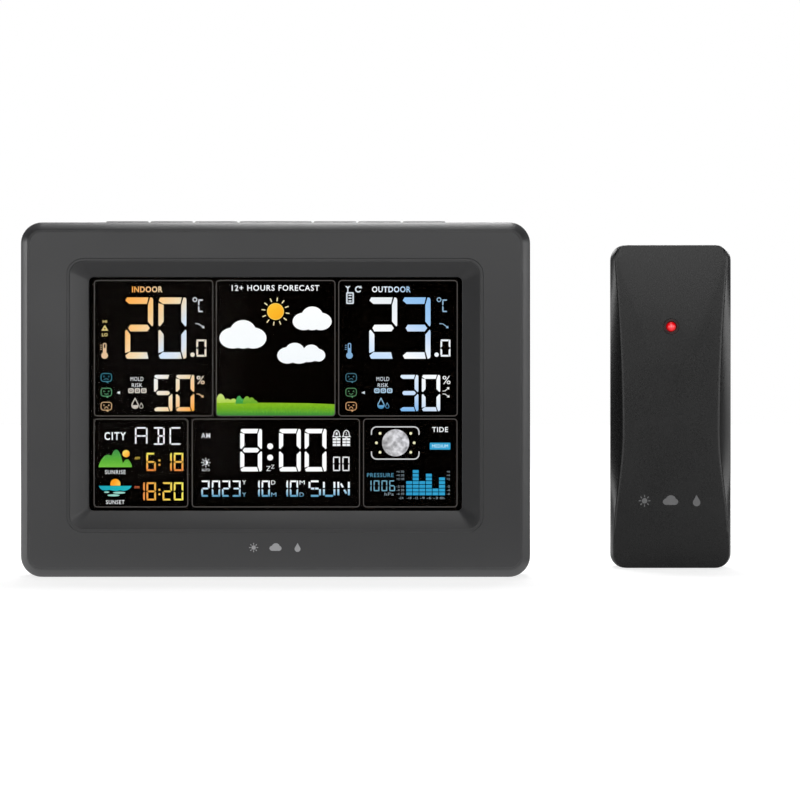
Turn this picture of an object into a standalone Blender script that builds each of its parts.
"""Home weather station: a mains display console and its wireless outdoor sensor.

The origin is on the standing surface, under the middle of the console. +Z is up and the
console's display faces -Y. The sensor stands to the right of the console and behind it.
"""

import math

import bmesh
import bpy
from mathutils import Matrix, Vector

MM = 0.001
GAP = 0.3 * MM  # clearance between neighbouring pieces
OVERRUN = 1.0 * MM  # how far a cutter runs past the face it opens

# Console shell: overall size, then the front's bevelled window.
CONSOLE_WIDTH = 200.0 * MM
CONSOLE_HEIGHT = 139.3 * MM
CONSOLE_DEPTH = 30.0 * MM
CONSOLE_CORNER = 8.3 * MM
CONSOLE_CHAMFER = 3.2 * MM
CONSOLE_WALL = 2.2 * MM
CONSOLE_SPLIT_Y = 3.5 * MM
BEZEL_DEPTH = 3.6 * MM
BEZEL_LIP = 0.8 * MM
BEZEL_X, BEZEL_Z, BEZEL_CORNER = 80.3 * MM, (18.9 * MM, 123.7 * MM), 5.2 * MM
WINDOW_X, WINDOW_Z, WINDOW_CORNER = 73.3 * MM, (26.0 * MM, 117.8 * MM), 2.0 * MM

# Display stack, as depths of each layer behind the lens pocket.
LENS_THICK, LCD_THICK, GUIDE_THICK = 1.5 * MM, 2.2 * MM, 3.0 * MM
REFLECTOR_THICK, BOARD_THICK = 0.4 * MM, 1.6 * MM

# Keys along the top: three small, one wide, three small.
KEY_NAMES = (
    "key_mode", "key_alarm", "key_memory", "key_snooze_light", "key_down", "key_up", "key_channel",
)
SMALL_KEY_PITCH, WIDE_KEY_PITCH = 17.5 * MM, 29.2 * MM
KEY_DEPTH_Y = (-9.2 * MM, -0.8 * MM)
KEY_PROUD = 0.8 * MM
KEY_TRAVEL = 0.7 * MM

# Folding stand in the console's back.
STAND_WIDTH, STAND_THICK = 59.0 * MM, 3.7 * MM
STAND_Z = (5.0 * MM, 62.0 * MM)  # foot, and the hinge axis
STAND_AXIS_DEPTH = 2.1 * MM  # of the hinge axis, in from the console's back
STAND_PIN_RADIUS = 0.8 * MM

# Backup cells (AAA) in the console and the sensor's cells (AA).
AAA_RADIUS, AAA_BODY, AAA_NUB = 5.25 * MM, 43.5 * MM, 1.0 * MM
AA_RADIUS, AA_BODY, AA_NUB = 7.25 * MM, 49.2 * MM, 1.2 * MM
CELL_PITCH_GAP = 0.8 * MM
SPRING_WIRE = 0.35 * MM
CONTACT_THICK = 0.5 * MM
TRAY_WALL = 1.2 * MM
DOOR_THICK = 1.4 * MM

# Outdoor sensor.
SENSOR_WIDTH = 49.9 * MM
SENSOR_HEIGHT = 133.6 * MM
SENSOR_DEPTH = 24.0 * MM
SENSOR_CORNER = 6.2 * MM
SENSOR_X = 160.9 * MM
SENSOR_FRONT_Y = 39.7 * MM
SENSOR_WALL = 2.0 * MM
SENSOR_FACET_DEPTH = 3.5 * MM
SENSOR_DRAFT = math.radians(5.2)
SENSOR_BACK_CHAMFER = 2.0 * MM
SENSOR_SPLIT = 13.5 * MM  # depth of the joint between the two shells
WAIST_EDGE, WAIST_MIDDLE = 0.7 * MM, 4.9 * MM  # facet width at the ends and at the waist
WAIST_HEIGHT = 57.0 * MM
LED_HEIGHT = 99.8 * MM
LED_RING_RADIUS, LED_LENS_RADIUS = 3.1 * MM, 2.05 * MM

ROUND = 24  # sides of a visible round piece
SMALL_ROUND = 12  # sides of a pin, a hole or a wire


def clear_scene():
    """Empties the open scene and makes the two collections."""
    for item in list(bpy.data.objects):
        bpy.data.objects.remove(item, do_unlink=True)
    for name in ("Home weather station", "Cutters"):
        bpy.context.scene.collection.children.link(bpy.data.collections.new(name))


def paint(item, colour, roughness, metallic=0.0, transmission=0.0):
    """Gives an object its own Principled material."""
    surface = bpy.data.materials.new(item.name)
    surface.use_nodes = True
    shader = surface.node_tree.nodes["Principled BSDF"]
    shader.inputs["Base Color"].default_value = (*colour, 1.0)
    shader.inputs["Roughness"].default_value = roughness
    shader.inputs["Metallic"].default_value = metallic
    shader.inputs["Transmission Weight"].default_value = transmission
    item.data.materials.clear()
    item.data.materials.append(surface)
    return item


BLACK_PLASTIC = ((0.012, 0.012, 0.012), 0.5)
GREY_PLASTIC = ((0.062, 0.062, 0.066), 0.6)
BOARD_GREEN = ((0.02, 0.16, 0.05), 0.5)
WHITE_PLASTIC = ((0.8, 0.8, 0.8), 0.5)
STEEL = ((0.55, 0.55, 0.56), 0.35, 1.0)
NICKEL = ((0.7, 0.68, 0.62), 0.3, 1.0)
COPPER = ((0.8, 0.35, 0.15), 0.35, 1.0)


def from_bmesh(name, work):
    """Turns a bmesh into a linked object with clean outward faces."""
    bmesh.ops.remove_doubles(work, verts=work.verts, dist=1e-6)
    bmesh.ops.recalc_face_normals(work, faces=work.faces)
    mesh = bpy.data.meshes.new(name)
    work.to_mesh(mesh)
    work.free()
    item = bpy.data.objects.new(name, mesh)
    bpy.data.collections["Home weather station"].objects.link(item)
    return item


def box(name, x, y, z):
    """A block between three (low, high) pairs."""
    spans = (x, y, z)
    centre = Vector([(low + high) / 2 for low, high in spans])
    size = Vector([high - low for low, high in spans])
    work = bmesh.new()
    bmesh.ops.create_cube(work, size=1.0, matrix=Matrix.Translation(centre) @ Matrix.Diagonal((*size, 1.0)))
    return from_bmesh(name, work)


# Turns a shape drawn along +Z to lie along each axis, keeping the order of the other two.
ALONG = {
    "X": Matrix(((0, 0, 1, 0), (1, 0, 0, 0), (0, 1, 0, 0), (0, 0, 0, 1))),
    "Y": Matrix(((1, 0, 0, 0), (0, 0, 1, 0), (0, 1, 0, 0), (0, 0, 0, 1))),
    "Z": Matrix.Identity(4),
}


def rod(name, centre, radius, span, axis="Y", sides=ROUND, end_radius=None):
    """A cylinder or cone along an axis. centre is its other two coordinates, in X, Y, Z order."""
    low, high = span
    end_radius = radius if end_radius is None else end_radius
    work = bmesh.new()
    bmesh.ops.create_cone(
        work, cap_ends=True, segments=sides, radius1=radius, radius2=end_radius, depth=high - low,
        matrix=ALONG[axis] @ Matrix.Translation((*centre, (low + high) / 2)),
    )
    return from_bmesh(name, work)


def arc(centre, radius, start, end, steps):
    """Points on an arc, angles in degrees."""
    angles = [math.radians(start + (end - start) * step / steps) for step in range(steps + 1)]
    return [(centre[0] + radius * math.cos(a), centre[1] + radius * math.sin(a)) for a in angles]


def rounded(x, z, radius, steps=5):
    """Outline of a rounded rectangle between two (low, high) pairs."""
    points = []
    corners = ((x[1], z[0], -90), (x[1], z[1], 0), (x[0], z[1], 90), (x[0], z[0], 180))
    for corner_x, corner_z, start in corners:
        centre_x = corner_x + (radius if corner_x == x[0] else -radius)
        centre_z = corner_z + (radius if corner_z == z[0] else -radius)
        points += arc((centre_x, centre_z), radius, start, start + 90, steps)
    return points


def keyhole(x, z, head=4.0 * MM, neck=2.1 * MM, rise=9.0 * MM):
    """Outline of a wall-hanging keyhole with its round end at (x, z)."""
    lean = math.degrees(math.asin(neck / head))
    start, end = 90 + lean, 450 - lean
    return arc((x, z), head, start, end, 12) + arc((x, z + rise), neck, 0, 180, 5)


def sheet(name, outlines, span, axis="Y", chamfer=0.0):
    """A plate: flat outlines (the later ones are holes) given thickness along an axis."""
    low, high = span
    curve = bpy.data.curves.new(name, "CURVE")
    curve.dimensions = "2D"
    curve.fill_mode = "BOTH"
    curve.extrude = (high - low) / 2 - chamfer
    curve.bevel_depth = chamfer
    curve.bevel_resolution = 0
    curve.offset = -chamfer
    for outline in outlines:
        spline = curve.splines.new("POLY")
        spline.points.add(len(outline) - 1)
        for point, (first, second) in zip(spline.points, outline):
            point.co = (first, second, 0.0, 1.0)
        spline.use_cyclic_u = True
    guide = bpy.data.objects.new(name, curve)
    bpy.context.scene.collection.objects.link(guide)
    bpy.context.view_layer.update()
    evaluated = guide.evaluated_get(bpy.context.evaluated_depsgraph_get())
    mesh = bpy.data.meshes.new_from_object(evaluated)
    mesh.transform(ALONG[axis] @ Matrix.Translation((0, 0, (low + high) / 2)))
    bpy.data.objects.remove(guide)
    bpy.data.curves.remove(curve)
    work = bmesh.new()
    work.from_mesh(mesh)
    bpy.data.meshes.remove(mesh)
    bmesh.ops.dissolve_limit(work, angle_limit=math.radians(0.5), verts=work.verts, edges=work.edges)
    return from_bmesh(name, work)


def loft(name, rings):
    """A closed solid through rings that have the same number of points."""
    work = bmesh.new()
    rows = [[work.verts.new(point) for point in ring] for ring in rings]
    count = len(rows[0])
    for near, far in zip(rows, rows[1:]):
        for index in range(count):
            after = (index + 1) % count
            work.faces.new((near[index], near[after], far[after], far[index]))
    work.faces.new(rows[0])
    work.faces.new(list(reversed(rows[-1])))
    return from_bmesh(name, work)


def turned(name, centre, profile):
    """A round solid about an axis along Y at (x, z), from a profile of (radius, y) pairs."""
    work = bmesh.new()
    verts = [work.verts.new((centre[0] + radius, y, centre[1])) for radius, y in profile]
    for near, far in zip(verts, verts[1:]):
        work.edges.new((near, far))
    bmesh.ops.spin(
        work, geom=work.verts[:] + work.edges[:], cent=(centre[0], 0, centre[1]), axis=(0, 1, 0),
        angle=math.tau, steps=ROUND,
    )
    return from_bmesh(name, work)


def wire(name, points, radius):
    """A bent round wire with closed ends."""
    curve = bpy.data.curves.new(name, "CURVE")
    curve.dimensions = "3D"
    curve.bevel_depth = radius
    curve.bevel_resolution = 1
    curve.use_fill_caps = True
    spline = curve.splines.new("POLY")
    spline.points.add(len(points) - 1)
    for point, place in zip(spline.points, points):
        point.co = (*place, 1.0)
    item = bpy.data.objects.new(name, curve)
    bpy.data.collections["Home weather station"].objects.link(item)
    return item


def combine(item, operation, tools):
    """Adds one Boolean for each tool and moves the tools to the cutters' collection."""
    for tool in tools:
        modifier = item.modifiers.new(tool.name, "BOOLEAN")
        modifier.operation = operation
        modifier.solver = "EXACT"
        modifier.object = tool
        bpy.data.collections["Home weather station"].objects.unlink(tool)
        bpy.data.collections["Cutters"].objects.link(tool)
        tool.hide_render = True
        tool.display_type = "WIRE"
    return item


def cut(item, *tools):
    """Cuts the tools away from the item."""
    return combine(item, "DIFFERENCE", tools)


def add(item, *tools):
    """Joins the tools to the item."""
    return combine(item, "UNION", tools)


def put_origin(item, place):
    """Moves an object's origin, and leaves its shape where it is."""
    item.data.transform(Matrix.Translation(-Vector(place)))
    item.location = place
    return item


# ---------------------------------------------------------------- shared places

FRONT_Y = -CONSOLE_DEPTH / 2
BACK_Y = CONSOLE_DEPTH / 2
BACK_WALL_Y = BACK_Y - CONSOLE_WALL
INNER_X = CONSOLE_WIDTH / 2 - CONSOLE_WALL
INNER_Z = (CONSOLE_WALL, CONSOLE_HEIGHT - CONSOLE_WALL)
INNER_CORNER = CONSOLE_CORNER - CONSOLE_WALL
LENS_POCKET_Y = FRONT_Y + BEZEL_DEPTH + BEZEL_LIP
LENS_Y = (LENS_POCKET_Y + GAP, LENS_POCKET_Y + GAP + LENS_THICK)
LCD_Y = (LENS_Y[1] + GAP, LENS_Y[1] + GAP + LCD_THICK)
GUIDE_Y = (LCD_Y[1] + GAP, LCD_Y[1] + GAP + GUIDE_THICK)
REFLECTOR_Y = (GUIDE_Y[1] + GAP, GUIDE_Y[1] + GAP + REFLECTOR_THICK)
BOARD_Y = (-1.6 * MM, -1.6 * MM + BOARD_THICK)
SCREW_PLACES = [(x, z) for z in (9.0 * MM, CONSOLE_HEIGHT - 9.0 * MM) for x in (-90.5 * MM, 90.5 * MM)]
SCREW_HEAD_Y = 7.3 * MM
DC_PLACE = (-84.0 * MM, 22.0 * MM)
RESET_PLACE = (-62.0 * MM, 22.0 * MM)
BUZZER_PLACE = (-62.0 * MM, 92.0 * MM)
VENT_PLACE = (-84.0 * MM, 56.0 * MM)
HANGER_PLACES = [(-50.0 * MM, 113.0 * MM), (50.0 * MM, 113.0 * MM)]
LABEL_X, LABEL_Z = (-28.0 * MM, 28.0 * MM), (78.0 * MM, 100.0 * MM)


def console_blank(name):
    """The console's whole outside, chamfered front and back."""
    outline = rounded((-CONSOLE_WIDTH / 2, CONSOLE_WIDTH / 2), (0.0, CONSOLE_HEIGHT), CONSOLE_CORNER)
    return sheet(name, [outline], (FRONT_Y, BACK_Y), chamfer=CONSOLE_CHAMFER)


def beyond(name, y):
    """A block over everything in the console between two depths."""
    reach = CONSOLE_WIDTH
    return box(name, (-reach, reach), y, (-reach, reach))


# ---------------------------------------------------------------- console shell


def make_front_housing():
    """Front shell: bevelled window, lens pocket, key slot and four screw bosses."""
    item = console_blank("front_housing")
    cavity_y = LENS_Y[1] + GAP
    inner = rounded((-INNER_X, INNER_X), INNER_Z, INNER_CORNER)
    window_pad = rounded((-86 * MM, 86 * MM), (13.5 * MM, 128.5 * MM), 6 * MM)
    bezel = []
    for inset, y in ((0.0, FRONT_Y - OVERRUN), (0.0, FRONT_Y), (1.0, FRONT_Y + BEZEL_DEPTH)):
        blend = [wide + (narrow - wide) * inset for wide, narrow in (
            (BEZEL_X, WINDOW_X), (BEZEL_Z[0], WINDOW_Z[0]),
            (BEZEL_Z[1], WINDOW_Z[1]), (BEZEL_CORNER, WINDOW_CORNER),
        )]
        outline = rounded((-blend[0], blend[0]), (blend[1], blend[2]), blend[3])
        bezel.append([(x, y, z) for x, z in outline])
    window = rounded((-WINDOW_X, WINDOW_X), WINDOW_Z, WINDOW_CORNER)
    lens_pocket = rounded(
        (-WINDOW_X - 2.8 * MM, WINDOW_X + 2.8 * MM),
        (WINDOW_Z[0] - 2.8 * MM, WINDOW_Z[1] + 2.8 * MM), WINDOW_CORNER,
    )
    keys_half = WIDE_KEY_PITCH / 2 + 3 * SMALL_KEY_PITCH
    cut(
        item,
        beyond("housing_rear_cut", (CONSOLE_SPLIT_Y, BACK_Y + OVERRUN)),
        sheet("housing_cavity", [inner], (cavity_y, CONSOLE_SPLIT_Y + OVERRUN)),
        sheet("housing_rim_cavity", [inner, window_pad], (FRONT_Y + CONSOLE_WALL, cavity_y + OVERRUN)),
        loft("housing_bezel", bezel),
        sheet("housing_window", [window], (FRONT_Y + BEZEL_DEPTH - OVERRUN, cavity_y + OVERRUN)),
        sheet("housing_lens_pocket", [lens_pocket], (LENS_POCKET_Y, cavity_y + OVERRUN)),
        box(
            "housing_key_slot", (-keys_half - GAP, keys_half + GAP),
            (KEY_DEPTH_Y[0] - GAP, KEY_DEPTH_Y[1] + GAP),
            (INNER_Z[1] - OVERRUN, CONSOLE_HEIGHT + OVERRUN),
        ),
    )
    for index, place in enumerate(SCREW_PLACES, 1):
        boss = rod(f"housing_boss_{index}", place, 3.8 * MM, (FRONT_Y + 1.2 * MM, CONSOLE_SPLIT_Y))
        hole = rod(
            f"housing_boss_hole_{index}", place, 1.7 * MM,
            (-7.0 * MM, CONSOLE_SPLIT_Y + OVERRUN), sides=SMALL_ROUND,
        )
        add(item, boss)
        cut(item, hole)
    return paint(item, *GREY_PLASTIC)


CONSOLE_TRAY_X = (36.0 * MM, 90.0 * MM)
CONSOLE_TRAY_Z = (24.0 * MM, 48.0 * MM)
CONSOLE_TRAY_FLOOR = 1.4 * MM
CONSOLE_CELL_Y = 7.0 * MM
STAND_POCKET_FLOOR = 10.6 * MM
STAND_AXIS_Y = BACK_Y - STAND_AXIS_DEPTH
STAND_HALF = STAND_WIDTH / 2
STAND_POCKET_X = STAND_HALF + 2 * GAP
STAND_POCKET_Z = (STAND_Z[0] - 1.5 * MM, STAND_Z[1] + 2.8 * MM)


def make_rear_cover():
    """Back shell: cell tray, stand pocket, screw wells, vents, hangers and small openings."""
    item = console_blank("rear_cover")
    start = CONSOLE_SPLIT_Y + GAP
    inner = rounded((-INNER_X, INNER_X), INNER_Z, INNER_CORNER)
    cut(
        item,
        beyond("cover_front_cut", (FRONT_Y - OVERRUN, start)),
        sheet("cover_cavity", [inner], (start - OVERRUN, BACK_WALL_Y)),
    )
    wall = TRAY_WALL
    tray_x, tray_z = CONSOLE_TRAY_X, CONSOLE_TRAY_Z
    pocket_x = STAND_POCKET_X + 2 * MM
    add(
        item,
        box(
            "cover_tray", (tray_x[0] - wall, tray_x[1] + wall),
            (CONSOLE_TRAY_FLOOR - 0.9 * MM, BACK_WALL_Y + OVERRUN), (tray_z[0] - wall, tray_z[1] + wall),
        ),
        box(
            "cover_stand_walls", (-pocket_x, pocket_x),
            (STAND_POCKET_FLOOR - wall, BACK_WALL_Y + OVERRUN),
            (CONSOLE_WALL - 0.5 * MM, STAND_POCKET_Z[1] + 2 * MM),
        ),
    )
    for index, place in enumerate(SCREW_PLACES, 1):
        add(item, rod(f"cover_boss_{index}", place, 4.3 * MM, (start, BACK_WALL_Y + OVERRUN)))
    open_y = BACK_Y + OVERRUN
    rebate_y = BACK_Y - DOOR_THICK - GAP
    margin = 3 * MM + GAP
    cut(
        item,
        box("cover_tray_hollow", tray_x, (CONSOLE_TRAY_FLOOR, open_y), tray_z),
        box(
            "cover_door_rebate", (tray_x[0] - margin, tray_x[1] + margin), (rebate_y, open_y),
            (tray_z[0] - margin, tray_z[1] + margin),
        ),
        box("cover_stand_pocket", (-STAND_POCKET_X, STAND_POCKET_X), (STAND_POCKET_FLOOR, open_y),
            STAND_POCKET_Z),
        rod(
            "cover_pin_seat", (STAND_AXIS_Y, STAND_Z[1]), STAND_PIN_RADIUS + GAP,
            (-STAND_POCKET_X - 1.4 * MM, STAND_POCKET_X + 1.4 * MM), axis="X", sides=SMALL_ROUND,
        ),
        rod("cover_socket_hole", DC_PLACE, 4.2 * MM + GAP, (BACK_WALL_Y - OVERRUN, open_y)),
        rod("cover_reset_hole", RESET_PLACE, 2.0 * MM + GAP, (BACK_WALL_Y - OVERRUN, open_y)),
        box("cover_label_recess", LABEL_X, (BACK_Y - 0.6 * MM, open_y), LABEL_Z),
    )
    for index, place in enumerate(SCREW_PLACES, 1):
        cut(
            item,
            rod(f"cover_screw_well_{index}", place, 3.1 * MM, (SCREW_HEAD_Y - GAP, open_y)),
            rod(f"cover_screw_hole_{index}", place, 1.7 * MM, (start - OVERRUN, open_y), sides=SMALL_ROUND),
        )
    for index, (x, z) in enumerate(HANGER_PLACES, 1):
        cut(item, sheet(f"cover_hanger_{index}", [keyhole(x, z)], (BACK_WALL_Y - OVERRUN, open_y)))
    for index in range(6):
        z = VENT_PLACE[1] + (index - 2.5) * 4.4 * MM
        slot = rounded((VENT_PLACE[0] - 9 * MM, VENT_PLACE[0] + 9 * MM), (z - 0.9 * MM, z + 0.9 * MM),
                       0.8 * MM, 2)
        cut(item, sheet(f"cover_vent_{index + 1}", [slot], (BACK_WALL_Y - OVERRUN, open_y)))
    for index in range(7):
        angle, radius = index * math.tau / 6, 0.0 if index == 6 else 4.5 * MM
        place = (BUZZER_PLACE[0] + radius * math.cos(angle), BUZZER_PLACE[1] + radius * math.sin(angle))
        hole_y = (BACK_WALL_Y - OVERRUN, open_y)
        cut(item, rod(f"cover_buzzer_hole_{index + 1}", place, 0.9 * MM, hole_y, sides=8))
    return paint(item, *GREY_PLASTIC)


def make_screw(name, place, head_y, shaft_end_y, head_radius=2.7 * MM, shaft_radius=1.4 * MM):
    """A cross-head screw that points to -Y."""
    head_thick, cross_depth, blade = 2.0 * MM, 1.0 * MM, 0.35 * MM
    x, z = place
    item = rod(name, place, head_radius, (head_y, head_y + head_thick), end_radius=head_radius * 0.8)
    shaft_y = (shaft_end_y, head_y + head_thick / 2)
    add(item, rod(f"{name}_shaft", place, shaft_radius, shaft_y, sides=SMALL_ROUND))
    cross_y = (head_y + head_thick - cross_depth, head_y + head_thick + OVERRUN)
    reach = head_radius * 0.5
    cut(
        item,
        box(f"{name}_cross_wide", (x - reach, x + reach), cross_y, (z - blade, z + blade)),
        box(f"{name}_cross_tall", (x - blade, x + blade), cross_y, (z - reach, z + reach)),
    )
    return paint(item, *STEEL)


# ---------------------------------------------------------------- display stack


def make_display():
    """Lens, liquid crystal panel, its frame, the backlight and the main board."""
    lens_reach = 2.5 * MM
    window_x = (-WINDOW_X - lens_reach, WINDOW_X + lens_reach)
    window_z = (WINDOW_Z[0] - lens_reach, WINDOW_Z[1] + lens_reach)
    lens = sheet("display_lens", [rounded(window_x, window_z, WINDOW_CORNER, 3)], LENS_Y)
    paint(lens, (0.9, 0.9, 0.9), 0.05, transmission=1.0)
    panel_x, panel_z = (-76.0 * MM, 76.0 * MM), (21.5 * MM, 120.6 * MM)
    paint(box("lcd_panel", panel_x, LCD_Y, panel_z), (0.004, 0.003, 0.002), 0.25)
    frame_x, frame_z = (-79.5 * MM, 79.5 * MM), (18.5 * MM, 123.6 * MM)
    frame_outer = rounded(frame_x, frame_z, 1.5 * MM, 2)
    frame_inner = rounded(
        (panel_x[0] - GAP, panel_x[1] + GAP), (panel_z[0] - GAP, panel_z[1] + GAP), 0.2 * MM, 1,
    )
    frame_y = (LCD_Y[0] + GAP, BOARD_Y[0] - GAP)
    paint(sheet("lcd_frame", [frame_outer, frame_inner], frame_y), *WHITE_PLASTIC)
    guide_x, guide_z = (-75.5 * MM, 75.5 * MM), (27.9 * MM, 120.3 * MM)
    paint(box("light_guide", guide_x, GUIDE_Y, guide_z), (0.85, 0.88, 0.9), 0.15, transmission=0.6)
    paint(box("reflector_sheet", guide_x, REFLECTOR_Y, guide_z), *WHITE_PLASTIC)
    strip_y = (GUIDE_Y[0] + 0.2 * MM, GUIDE_Y[1] - 0.2 * MM)
    paint(box("led_strip", (-60 * MM, 60 * MM), strip_y, (25.1 * MM, 27.6 * MM)), (0.9, 0.85, 0.5), 0.4)
    connector_y = (LCD_Y[1] + GAP, BOARD_Y[0] - GAP)
    paint(
        box("lcd_connector", (-65 * MM, 65 * MM), connector_y, (22.0 * MM, 24.8 * MM)),
        (0.35, 0.35, 0.36), 0.8,
    )
    paint(box("main_board", (-80 * MM, 80 * MM), BOARD_Y, (18.0 * MM, 124.0 * MM)), *BOARD_GREEN)


# ---------------------------------------------------------------- keys


def key_spans():
    """The (low, high) X of each key, from left to right."""
    pitches = [WIDE_KEY_PITCH if name == "key_snooze_light" else SMALL_KEY_PITCH for name in KEY_NAMES]
    edge = -sum(pitches) / 2
    spans = []
    for pitch in pitches:
        spans.append((edge + GAP, edge + pitch - GAP))
        edge += pitch
    return spans


def make_keys():
    """Seven press keys, the rubber mat below them and the key board."""
    flange_z = (INNER_Z[1] - GAP - 1.2 * MM, INNER_Z[1] - GAP)
    flange_y = (KEY_DEPTH_Y[0] - 1.2 * MM, KEY_DEPTH_Y[1] + 1.2 * MM)
    mat_top = flange_z[0] - KEY_TRAVEL - GAP
    mat_z = (mat_top - 2.3 * MM, mat_top - 1.5 * MM)
    middle_y = sum(KEY_DEPTH_Y) / 2
    half = key_spans()[-1][1]
    mat = box("key_mat", (-half, half), KEY_DEPTH_Y, mat_z)
    for name, span in zip(KEY_NAMES, key_spans()):
        cap_z = (flange_z[1] - 0.5 * MM, CONSOLE_HEIGHT + KEY_PROUD)
        cap = box(name, span, KEY_DEPTH_Y, cap_z)
        add(cap, box(f"{name}_flange", span, flange_y, flange_z))
        middle_x = sum(span) / 2
        paint(put_origin(cap, (middle_x, middle_y, CONSOLE_HEIGHT)), *GREY_PLASTIC)
        dome_z = (mat_z[1] - 0.3 * MM, mat_top)
        dome = rod(
            f"{name}_dome", (middle_x, middle_y), 3.0 * MM, dome_z, axis="Z",
            sides=SMALL_ROUND, end_radius=2.0 * MM,
        )
        add(mat, dome)
    paint(mat, (0.4, 0.4, 0.42), 0.85)
    board_z = (mat_z[0] - GAP - BOARD_THICK, mat_z[0] - GAP)
    board_y = (KEY_DEPTH_Y[0] - 0.6 * MM, KEY_DEPTH_Y[1])
    board = box("key_board", (-half - 1 * MM, half + 1 * MM), board_y, board_z)
    paint(board, *BOARD_GREEN)


# ---------------------------------------------------------------- stand, door and rear pieces


def make_stand():
    """Folding stand, hung on a steel pin across the top of its pocket."""
    axis = (STAND_AXIS_Y, STAND_Z[1])
    leg_y = (BACK_Y - STAND_THICK, BACK_Y)
    profile = [(leg_y[1], STAND_Z[0]), (leg_y[1], axis[1])]
    profile += arc(axis, 1.7 * MM, 40, 150, 6)
    profile += [(leg_y[0], axis[1] - 1 * MM), (leg_y[0], STAND_Z[0] + 1.5 * MM)]
    profile += [(leg_y[0] + 1 * MM, STAND_Z[0])]
    leg = sheet("kickstand", [profile], (-STAND_HALF, STAND_HALF), axis="X")
    cut(leg, rod(
        "kickstand_bore", axis, STAND_PIN_RADIUS + GAP, (-STAND_HALF - OVERRUN, STAND_HALF + OVERRUN),
        axis="X", sides=SMALL_ROUND,
    ))
    for index in range(3):
        ridge_z = STAND_Z[0] + (5.0 + 2.2 * index) * MM
        cut(leg, box(
            f"kickstand_groove_{index + 1}", (-12 * MM, 12 * MM), (BACK_Y - 0.6 * MM, BACK_Y + OVERRUN),
            (ridge_z - 0.5 * MM, ridge_z + 0.5 * MM),
        ))
    paint(put_origin(leg, (0.0, *axis)), *GREY_PLASTIC)
    pin_half = STAND_POCKET_X + 1.4 * MM - GAP
    pin = rod("stand_pin", axis, STAND_PIN_RADIUS, (-pin_half, pin_half), axis="X", sides=SMALL_ROUND)
    paint(pin, *STEEL)


def make_battery_door():
    """Snap-off door over the console's cells, with two finger ridges."""
    margin = 3 * MM
    x = (CONSOLE_TRAY_X[0] - margin, CONSOLE_TRAY_X[1] + margin)
    z = (CONSOLE_TRAY_Z[0] - margin, CONSOLE_TRAY_Z[1] + margin)
    door = box("battery_door", x, (BACK_Y - DOOR_THICK, BACK_Y), z)
    middle = sum(x) / 2
    for index in range(3):
        ridge_z = z[1] - (3.0 + 1.6 * index) * MM
        groove = box(
            f"battery_door_groove_{index + 1}", (middle - 7 * MM, middle + 7 * MM),
            (BACK_Y - 0.5 * MM, BACK_Y + OVERRUN), (ridge_z - 0.4 * MM, ridge_z + 0.4 * MM),
        )
        cut(door, groove)
    paint(put_origin(door, (middle, BACK_Y, sum(z) / 2)), *GREY_PLASTIC)


def make_rear_pieces():
    """Power socket, reset button, buzzer, climate sensor, aerial, label and screws."""
    socket_y = (4.0 * MM, BACK_Y - GAP)
    socket = rod("dc_socket", DC_PLACE, 4.2 * MM, socket_y)
    cut(socket, rod("dc_socket_bore", DC_PLACE, 2.9 * MM, (5.5 * MM, BACK_Y + OVERRUN)))
    paint(socket, *BLACK_PLASTIC)
    paint(rod("dc_pin", DC_PLACE, 1.0 * MM, (5.5 * MM + GAP, 13.0 * MM), sides=SMALL_ROUND), *NICKEL)
    reset = rod("reset_button", RESET_PLACE, 2.0 * MM, (BACK_WALL_Y - 2 * MM, BACK_Y - 0.2 * MM))
    add(reset, rod("reset_flange", RESET_PLACE, 3.4 * MM, (BACK_WALL_Y - 1.5 * MM, BACK_WALL_Y - GAP)))
    paint(put_origin(reset, (RESET_PLACE[0], BACK_Y, RESET_PLACE[1])), *BLACK_PLASTIC)
    buzzer_y = (BACK_WALL_Y - GAP - 3.5 * MM, BACK_WALL_Y - GAP)
    paint(rod("buzzer", BUZZER_PLACE, 10.0 * MM, buzzer_y), *BLACK_PLASTIC)
    probe_x = (VENT_PLACE[0] - 5 * MM, VENT_PLACE[0] + 5 * MM)
    probe_z = (VENT_PLACE[1] - 7 * MM, VENT_PLACE[1] + 7 * MM)
    probe = box("climate_sensor", probe_x, (6.0 * MM, 7.2 * MM), probe_z)
    add(probe, box(
        "climate_sensor_chip", (VENT_PLACE[0] - 2 * MM, VENT_PLACE[0] + 2 * MM), (7.0 * MM, 9.0 * MM),
        (VENT_PLACE[1] - 2 * MM, VENT_PLACE[1] + 2 * MM),
    ))
    paint(probe, *BOARD_GREEN)
    route = [
        (-35 * MM, 0.8 * MM, 112 * MM), (-35 * MM, 4.0 * MM, 114 * MM), (-35 * MM, 5.0 * MM, 122 * MM),
        (-31 * MM, 5.0 * MM, 126 * MM), (30 * MM, 5.0 * MM, 126 * MM), (34 * MM, 5.0 * MM, 122 * MM),
        (34 * MM, 5.0 * MM, 104 * MM),
    ]
    paint(wire("receiver_aerial", route, 0.5 * MM), *COPPER)
    inset = 0.5 * MM
    label = box(
        "blank_label", (LABEL_X[0] + inset, LABEL_X[1] - inset), (BACK_Y - GAP, BACK_Y - 0.05 * MM),
        (LABEL_Z[0] + inset, LABEL_Z[1] - inset),
    )
    paint(label, (0.6, 0.6, 0.6), 0.4)
    for index, place in enumerate(SCREW_PLACES, 1):
        make_screw(f"case_screw_{index}", place, SCREW_HEAD_Y, -5.0 * MM)


# ---------------------------------------------------------------- cells and contacts


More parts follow.
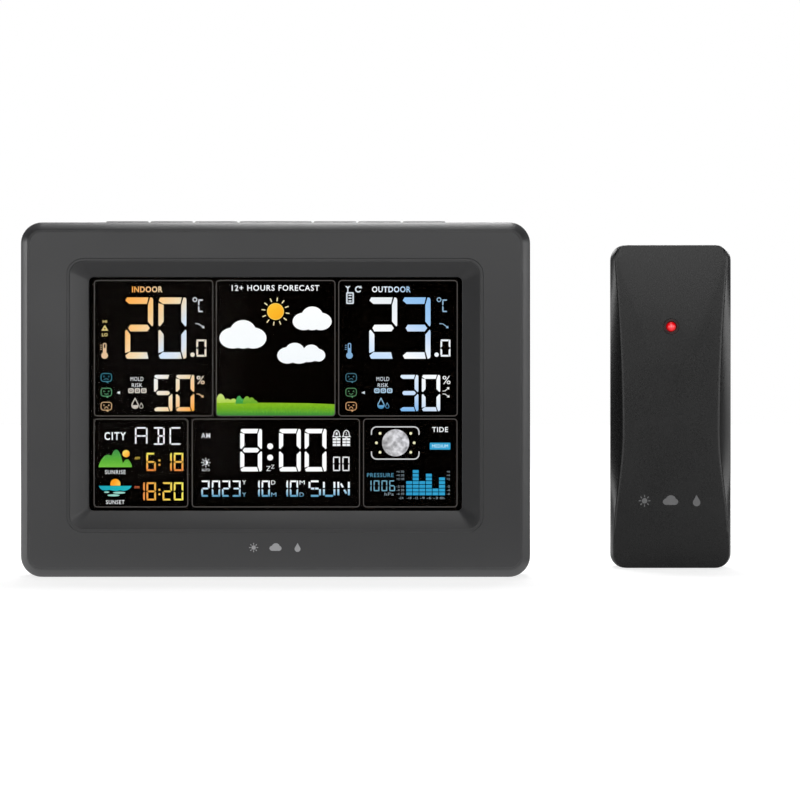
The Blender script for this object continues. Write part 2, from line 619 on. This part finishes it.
def make_cell(name, axis, centre, radius, body, nub):
    """A dry cell. body and nub are (low, high) pairs along the axis."""
    item = rod(name, centre, radius, body, axis=axis)
    if nub[0] >= body[0]:
        nub = (body[1] - OVERRUN, nub[1])
    else:
        nub = (nub[0], body[0] + OVERRUN)
    add(item, rod(f"{name}_nub", centre, radius * 0.36, nub, axis=axis, sides=SMALL_ROUND))
    return paint(item, (0.05, 0.12, 0.35), 0.35, 0.4)


def make_spring(name, axis, centre, start, end, wide, narrow):
    """A conical contact spring from its wide coil to its narrow one."""
    turns, steps = 3, 10
    direction = 1 if end > start else -1
    first, last = start + direction * SPRING_WIRE, end - direction * SPRING_WIRE
    points = []
    for index in range(turns * steps + 1):
        share = index / (turns * steps)
        angle = index * math.tau / steps
        radius = wide + (narrow - wide) * share
        flat = (centre[0] + radius * math.cos(angle), centre[1] + radius * math.sin(angle))
        along = first + (last - first) * share
        points.append((along, *flat) if axis == "X" else (*flat, along))
    return paint(wire(name, points, SPRING_WIRE), *NICKEL)


def make_console_cells():
    """Two AAA backup cells, head to tail along X, with their plates and springs."""
    tray_x, tray_z = CONSOLE_TRAY_X, CONSOLE_TRAY_Z
    pitch = 2 * AAA_RADIUS + CELL_PITCH_GAP
    middle_z = sum(tray_z) / 2
    plate_z = (tray_z[0] + GAP, tray_z[1] - GAP)
    plate_y = (CONSOLE_TRAY_FLOOR + GAP, CONSOLE_CELL_Y + 4 * MM)
    left = (tray_x[0] + GAP, tray_x[0] + GAP + CONTACT_THICK)
    right = (tray_x[1] - GAP - CONTACT_THICK, tray_x[1] - GAP)
    paint(box("backup_contact_left", left, plate_y, plate_z), *NICKEL)
    paint(box("backup_contact_right", right, plate_y, plate_z), *NICKEL)
    low_tip, high_tip = left[1] + GAP, right[0] - GAP
    lower, upper = (CONSOLE_CELL_Y, middle_z - pitch / 2), (CONSOLE_CELL_Y, middle_z + pitch / 2)
    body = (low_tip + AAA_NUB, low_tip + AAA_NUB + AAA_BODY)
    make_cell("backup_cell_1", "X", lower, AAA_RADIUS, body, (low_tip, body[0]))
    make_spring("backup_spring_1", "X", lower, high_tip, body[1] + GAP, 3.6 * MM, 2.4 * MM)
    body = (high_tip - AAA_NUB - AAA_BODY, high_tip - AAA_NUB)
    make_cell("backup_cell_2", "X", upper, AAA_RADIUS, body, (body[1], high_tip))
    make_spring("backup_spring_2", "X", upper, low_tip, body[0] - GAP, 3.6 * MM, 2.4 * MM)


# ---------------------------------------------------------------- outdoor sensor

SENSOR_BACK_Y = SENSOR_FRONT_Y + SENSOR_DEPTH
SENSOR_SPLIT_Y = SENSOR_FRONT_Y + SENSOR_SPLIT
SENSOR_BACK_WALL_Y = SENSOR_BACK_Y - SENSOR_WALL
SENSOR_HALF = SENSOR_WIDTH / 2
SENSOR_TRAY_HALF = 16.4 * MM
SENSOR_TRAY_Z = (14.0 * MM, 92.0 * MM)
SENSOR_TRAY_FLOOR = SENSOR_FRONT_Y + 6.8 * MM
SENSOR_CELL_Y = SENSOR_FRONT_Y + 14.4 * MM
SENSOR_BOARD_Y = (SENSOR_FRONT_Y + 3.4 * MM, SENSOR_FRONT_Y + 4.6 * MM)
SENSOR_SWITCH_Z = 84.0 * MM
TX_X, CHANNEL_X = SENSOR_X - 8.0 * MM, SENSOR_X + 6.0 * MM
CHANNEL_TRAVEL = 4.0 * MM
SENSOR_SCREW_PLACES = [(SENSOR_X - 14.0 * MM, 104.0 * MM), (SENSOR_X + 14.0 * MM, 104.0 * MM)]
SENSOR_HANGER = (SENSOR_X, 108.0 * MM)
SENSOR_INNER_HALF = 20.8 * MM
SENSOR_BOSS_RADIUS = 3.0 * MM
SENSOR_SCREW_HEAD_Y = SENSOR_SPLIT_Y + 3.0 * MM
SENSOR_CELLS_TOP = 73.1 * MM  # top of the upper contact plate
TX_TRAVEL = 0.5 * MM


def waist(z):
    """How far the front face's side edge is in from the outline at a height."""
    reach = SENSOR_HEIGHT - WAIST_HEIGHT if z > WAIST_HEIGHT else WAIST_HEIGHT
    share = min(abs(z - WAIST_HEIGHT) / reach, 1.0)
    return WAIST_EDGE + (WAIST_MIDDLE - WAIST_EDGE) * (0.5 + 0.5 * math.cos(math.pi * share))


def sensor_ring(depth, side, end, corner, waisted=False, side_steps=14, corner_steps=5):
    """The sensor's outline at a depth, moved in by side, and by end (low, high) at its two ends.

    The face's ring also follows the waist.
    """
    half = SENSOR_HALF - side
    across = (SENSOR_X - half, SENSOR_X + half)
    flat = rounded(across, (end[0], SENSOR_HEIGHT - end[1]), corner, corner_steps)
    quarter = corner_steps + 1
    low, high = flat[corner_steps][1], flat[quarter][1]
    heights = [low + (high - low) * step / side_steps for step in range(1, side_steps)]
    ring = flat[:quarter] + [(across[1], z) for z in heights]
    ring += flat[quarter:3 * quarter] + [(across[0], z) for z in reversed(heights)] + flat[3 * quarter:]
    if waisted:
        ring = [(x + (SENSOR_X - x) / half * waist(z), z) for x, z in ring]
    return [(x, SENSOR_FRONT_Y + depth, z) for x, z in ring]


def sensor_blank(name):
    """The sensor's whole outside: waisted face, sloped side facets, drafted walls, flat base."""
    draft = math.tan(SENSOR_DRAFT) * (SENSOR_DEPTH - SENSOR_BACK_CHAMFER - SENSOR_FACET_DEPTH)
    edge, chamfer = 0.4 * MM, SENSOR_BACK_CHAMFER
    rings = [
        sensor_ring(0.0, edge, (edge, edge), SENSOR_CORNER - edge, waisted=True),
        sensor_ring(SENSOR_FACET_DEPTH, 0.0, (0.0, 0.0), SENSOR_CORNER),
        sensor_ring(SENSOR_DEPTH - chamfer, draft, (0.0, draft), SENSOR_CORNER - draft / 2),
        sensor_ring(SENSOR_DEPTH, draft + chamfer, (chamfer, draft + chamfer), SENSOR_CORNER - chamfer),
    ]
    return loft(name, rings)


def sensor_box(name, x_half, depth, z):
    """A block centred across the sensor, between two depths."""
    y = (SENSOR_FRONT_Y + depth[0], SENSOR_FRONT_Y + depth[1])
    return box(name, (SENSOR_X - x_half, SENSOR_X + x_half), y, z)


def make_sensor_front():
    """Front shell of the sensor, with its indicator seat and two screw bosses."""
    item = sensor_blank("sensor_front_shell")
    led_place = (SENSOR_X, LED_HEIGHT)
    front = SENSOR_FRONT_Y
    cut(
        item,
        sensor_box(
            "shell_rear_cut", SENSOR_WIDTH, (SENSOR_SPLIT, SENSOR_DEPTH + OVERRUN),
            (-OVERRUN, SENSOR_HEIGHT + OVERRUN),
        ),
        sensor_box(
            "shell_cavity", SENSOR_INNER_HALF, (SENSOR_WALL, SENSOR_SPLIT + OVERRUN),
            (3.0 * MM, SENSOR_HEIGHT - 3.0 * MM),
        ),
        rod("shell_led_seat", led_place, LED_RING_RADIUS + GAP, (front - OVERRUN, front + 1.0 * MM)),
        rod(
            "shell_led_hole", led_place, LED_LENS_RADIUS + GAP,
            (front - OVERRUN, front + SENSOR_WALL + OVERRUN),
        ),
    )
    for index, place in enumerate(SENSOR_SCREW_PLACES, 1):
        add(item, rod(f"shell_boss_{index}", place, SENSOR_BOSS_RADIUS, (front + 1.5 * MM, SENSOR_SPLIT_Y)))
        hole_y = (front + 5.0 * MM, SENSOR_SPLIT_Y + OVERRUN)
        cut(item, rod(f"shell_boss_hole_{index}", place, 1.3 * MM, hole_y, sides=SMALL_ROUND))
    return paint(item, *BLACK_PLASTIC)


def make_sensor_back():
    """Back shell of the sensor: cell tray, switch window, screw wells, vents and hanger."""
    item = sensor_blank("sensor_back_shell")
    depth, split, wall = SENSOR_DEPTH, SENSOR_SPLIT, TRAY_WALL
    tray_z, floor = SENSOR_TRAY_Z, SENSOR_TRAY_FLOOR - SENSOR_FRONT_Y
    rib_z = (SENSOR_CELLS_TOP + GAP, SENSOR_CELLS_TOP + GAP + wall)
    open_y, start_y = SENSOR_BACK_Y + OVERRUN, SENSOR_SPLIT_Y + GAP
    cut(
        item,
        sensor_box("back_front_cut", SENSOR_WIDTH, (-OVERRUN, split + GAP),
                   (-OVERRUN, SENSOR_HEIGHT + OVERRUN)),
        sensor_box(
            "back_cavity", SENSOR_INNER_HALF, (split - OVERRUN, depth - SENSOR_WALL),
            (3.0 * MM, SENSOR_HEIGHT - 3.0 * MM),
        ),
    )
    add(item, sensor_box(
        "back_tray", SENSOR_TRAY_HALF + wall, (floor - wall, depth - SENSOR_WALL + OVERRUN),
        (tray_z[0] - wall, tray_z[1] + wall),
    ))
    for index, place in enumerate(SENSOR_SCREW_PLACES, 1):
        boss_y = (start_y, SENSOR_BACK_WALL_Y + OVERRUN)
        add(item, rod(f"back_boss_{index}", place, SENSOR_BOSS_RADIUS + 0.3 * MM, boss_y))
    margin = 2 * MM + GAP
    cut(
        item,
        sensor_box("back_tray_hollow", SENSOR_TRAY_HALF, (floor, depth + OVERRUN), (tray_z[0], rib_z[0])),
        sensor_box("back_switch_hollow", SENSOR_TRAY_HALF, (floor, depth + OVERRUN), (rib_z[1], tray_z[1])),
        sensor_box("back_rib_top", SENSOR_TRAY_HALF, (depth - 4 * MM, depth + OVERRUN), tray_z),
        sensor_box(
            "back_door_rebate", SENSOR_TRAY_HALF + margin, (depth - DOOR_THICK - GAP, depth + OVERRUN),
            (tray_z[0] - margin, tray_z[1] + margin),
        ),
        rod("back_tx_hole", (TX_X, SENSOR_SWITCH_Z), 2.0 * MM + GAP,
            (SENSOR_TRAY_FLOOR - wall - OVERRUN, SENSOR_TRAY_FLOOR + OVERRUN)),
        box(
            "back_channel_slot", (CHANNEL_X - 1.5 * MM - GAP, CHANNEL_X + 1.5 * MM + GAP + CHANNEL_TRAVEL),
            (SENSOR_TRAY_FLOOR - wall - OVERRUN, SENSOR_TRAY_FLOOR + OVERRUN),
            (SENSOR_SWITCH_Z - 1.3 * MM, SENSOR_SWITCH_Z + 1.3 * MM),
        ),
        sheet("back_hanger", [keyhole(*SENSOR_HANGER)], (SENSOR_BACK_WALL_Y - OVERRUN, open_y)),
    )
    for index, place in enumerate(SENSOR_SCREW_PLACES, 1):
        cut(
            item,
            rod(f"back_screw_well_{index}", place, 2.5 * MM, (SENSOR_SCREW_HEAD_Y - GAP, open_y)),
            rod(f"back_screw_hole_{index}", place, 1.3 * MM, (start_y - OVERRUN, open_y), sides=SMALL_ROUND),
        )
    for index in range(3):
        z = 6.0 * MM + index * 2.4 * MM
        slot = rounded((SENSOR_X - 8 * MM, SENSOR_X + 8 * MM), (z - 0.6 * MM, z + 0.6 * MM), 0.5 * MM, 2)
        cut(item, sheet(f"back_vent_{index + 1}", [slot], (SENSOR_BACK_WALL_Y - OVERRUN, open_y)))
    return paint(item, *BLACK_PLASTIC)


def make_sensor_indicator():
    """Signal lamp: a ring in the face and a red domed lens through it."""
    place, front = (SENSOR_X, LED_HEIGHT), SENSOR_FRONT_Y
    ring = rod("indicator_ring", place, LED_RING_RADIUS, (front - 0.1 * MM, front + 1.0 * MM - GAP))
    cut(ring, rod("ring_bore", place, LED_LENS_RADIUS + GAP, (front - OVERRUN, front + 2 * MM)))
    paint(ring, (0.05, 0.012, 0.01), 0.35)
    dome_front, dome_depth = front - 0.5 * MM, 0.9 * MM
    back_y = front + SENSOR_WALL + 0.6 * MM
    profile = [(0.0, back_y), (LED_LENS_RADIUS, back_y)]
    for out, rise in arc((0.0, 0.0), 1.0, 0, 90, 5):
        profile.append((LED_LENS_RADIUS * out, dome_front + dome_depth * (1 - rise)))
    paint(turned("indicator_lens", place, profile), (0.8, 0.02, 0.02), 0.1, transmission=0.5)


def make_sensor_inside():
    """Board, switches, aerial, probe, cells, contacts and springs of the sensor."""
    x, board_y = SENSOR_X, SENSOR_BOARD_Y
    board = box("sensor_board", (x - 20 * MM, x + 20 * MM), board_y, (12 * MM, 122 * MM))
    for index, place in enumerate(SENSOR_SCREW_PLACES, 1):
        hole_y = (board_y[0] - OVERRUN, board_y[1] + OVERRUN)
        cut(board, rod(f"board_hole_{index}", place, SENSOR_BOSS_RADIUS + GAP, hole_y))
    paint(board, *BOARD_GREEN)
    floor = SENSOR_TRAY_FLOOR
    button_y = (board_y[1] + GAP + TX_TRAVEL, floor + 2.5 * MM)
    button = rod("tx_button", (TX_X, SENSOR_SWITCH_Z), 2.0 * MM, button_y)
    paint(put_origin(button, (TX_X, floor, SENSOR_SWITCH_Z)), (0.5, 0.5, 0.5), 0.6)
    knob = box(
        "channel_switch", (CHANNEL_X - 1.5 * MM, CHANNEL_X + 1.5 * MM), (board_y[1] + GAP, floor + 1.8 * MM),
        (SENSOR_SWITCH_Z - 1.0 * MM, SENSOR_SWITCH_Z + 1.0 * MM),
    )
    paint(put_origin(knob, (CHANNEL_X, floor, SENSOR_SWITCH_Z)), (0.7, 0.7, 0.7), 0.5)
    aerial_x, aerial_y = x + 19.2 * MM, SENSOR_FRONT_Y + 8.5 * MM
    route = [
        (aerial_x, board_y[1] + 0.8 * MM, 24 * MM), (aerial_x, board_y[1] + 2.0 * MM, 28 * MM),
        (aerial_x, aerial_y, 31 * MM), (aerial_x, aerial_y, 92 * MM),
    ]
    paint(wire("sensor_aerial", route, 0.5 * MM), *COPPER)
    probe_y = (board_y[1] + GAP, board_y[1] + GAP + 2.5 * MM)
    paint(box("sensor_probe", (x - 2.5 * MM, x + 2.5 * MM), probe_y, (114 * MM, 119 * MM)), *WHITE_PLASTIC)
    tray_z, top = SENSOR_TRAY_Z, SENSOR_CELLS_TOP
    plate_x = (x - SENSOR_TRAY_HALF + GAP, x + SENSOR_TRAY_HALF - GAP)
    plate_y = (floor + GAP, SENSOR_CELL_Y + 4 * MM)
    low = (tray_z[0] + GAP, tray_z[0] + GAP + CONTACT_THICK)
    high = (top - CONTACT_THICK, top)
    paint(box("sensor_contact_low", plate_x, plate_y, low), *NICKEL)
    paint(box("sensor_contact_high", plate_x, plate_y, high), *NICKEL)
    half_pitch = AA_RADIUS + CELL_PITCH_GAP / 2
    low_tip, high_tip = low[1] + GAP, high[0] - GAP
    left, right = (x - half_pitch, SENSOR_CELL_Y), (x + half_pitch, SENSOR_CELL_Y)
    body = (high_tip - AA_NUB - AA_BODY, high_tip - AA_NUB)
    make_cell("sensor_cell_1", "Z", left, AA_RADIUS, body, (body[1], high_tip))
    make_spring("sensor_spring_1", "Z", left, low_tip, body[0] - GAP, 5.0 * MM, 3.2 * MM)
    body = (low_tip + AA_NUB, low_tip + AA_NUB + AA_BODY)
    make_cell("sensor_cell_2", "Z", right, AA_RADIUS, body, (low_tip, body[0]))
    make_spring("sensor_spring_2", "Z", right, high_tip, body[1] + GAP, 5.0 * MM, 3.2 * MM)


def make_sensor_door():
    """Snap-off door over the sensor's cells, and the two case screws."""
    margin = 2 * MM
    z = (SENSOR_TRAY_Z[0] - margin, SENSOR_TRAY_Z[1] + margin)
    door_depth = (SENSOR_DEPTH - DOOR_THICK, SENSOR_DEPTH)
    door = sensor_box("sensor_door", SENSOR_TRAY_HALF + margin, door_depth, z)
    for index in range(3):
        ridge_z = z[1] - (3.0 + 1.6 * index) * MM
        cut(door, sensor_box(
            f"sensor_door_groove_{index + 1}", 6 * MM, (SENSOR_DEPTH - 0.5 * MM, SENSOR_DEPTH + OVERRUN),
            (ridge_z - 0.4 * MM, ridge_z + 0.4 * MM),
        ))
    paint(put_origin(door, (SENSOR_X, SENSOR_BACK_Y, sum(z) / 2)), *BLACK_PLASTIC)
    for index, place in enumerate(SENSOR_SCREW_PLACES, 1):
        make_screw(
            f"sensor_screw_{index}", place, SENSOR_SCREW_HEAD_Y, SENSOR_FRONT_Y + 6 * MM,
            head_radius=2.1 * MM, shaft_radius=1.0 * MM,
        )


def main():
    """Builds every piece of both units."""
    clear_scene()
    make_front_housing()
    make_rear_cover()
    make_display()
    make_keys()
    make_stand()
    make_battery_door()
    make_rear_pieces()
    make_console_cells()
    make_sensor_front()
    make_sensor_back()
    make_sensor_indicator()
    make_sensor_inside()
    make_sensor_door()


main()
